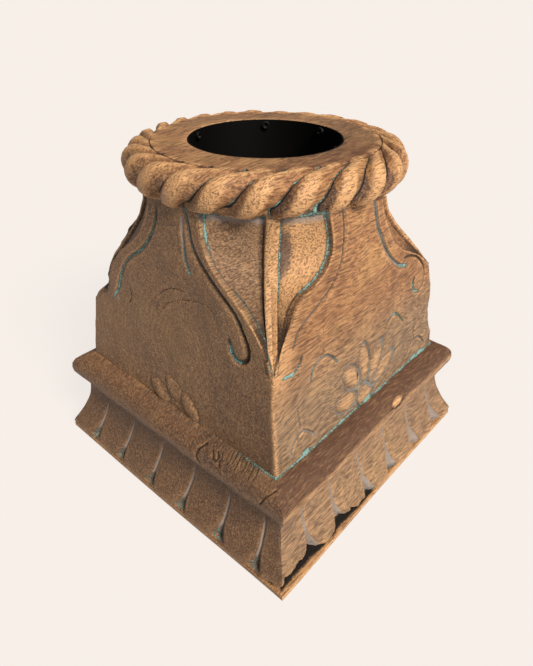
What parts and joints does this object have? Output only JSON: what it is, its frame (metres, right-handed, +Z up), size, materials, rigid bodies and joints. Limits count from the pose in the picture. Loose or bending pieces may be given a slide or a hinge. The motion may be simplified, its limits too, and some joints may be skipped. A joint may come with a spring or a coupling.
{
  "type": "carved timber column base",
  "caption": "Square carved timber column base with petal foot, rounded ledge, corner leaves and rope rim, bored for a thin sheet-metal lining.",
  "frame": {"origin": "centre of the square underside, which stands on the floor", "axes": "+Z up along the bore; +X and -Y square to the two faces that are most fully carved"},
  "size_m": [0.28, 0.28, 0.3004],
  "materials": {
    "weathered_wood": "weathered, waxed hardwood with remains of blue-green and grey-white paint in its carving",
    "black_sheet": "satin black paint on thin sheet metal",
    "blackened_steel": "blackened round-head screws"
  },
  "bodies": {
    "root": {"carved_base": "weathered_wood", "lining": "black_sheet", "lining_screw_1": "blackened_steel", "lining_screw_2": "blackened_steel", "lining_screw_3": "blackened_steel", "lining_screw_4": "blackened_steel", "lining_screw_5": "blackened_steel", "lining_screw_6": "blackened_steel"}
  },
  "joints": []
}
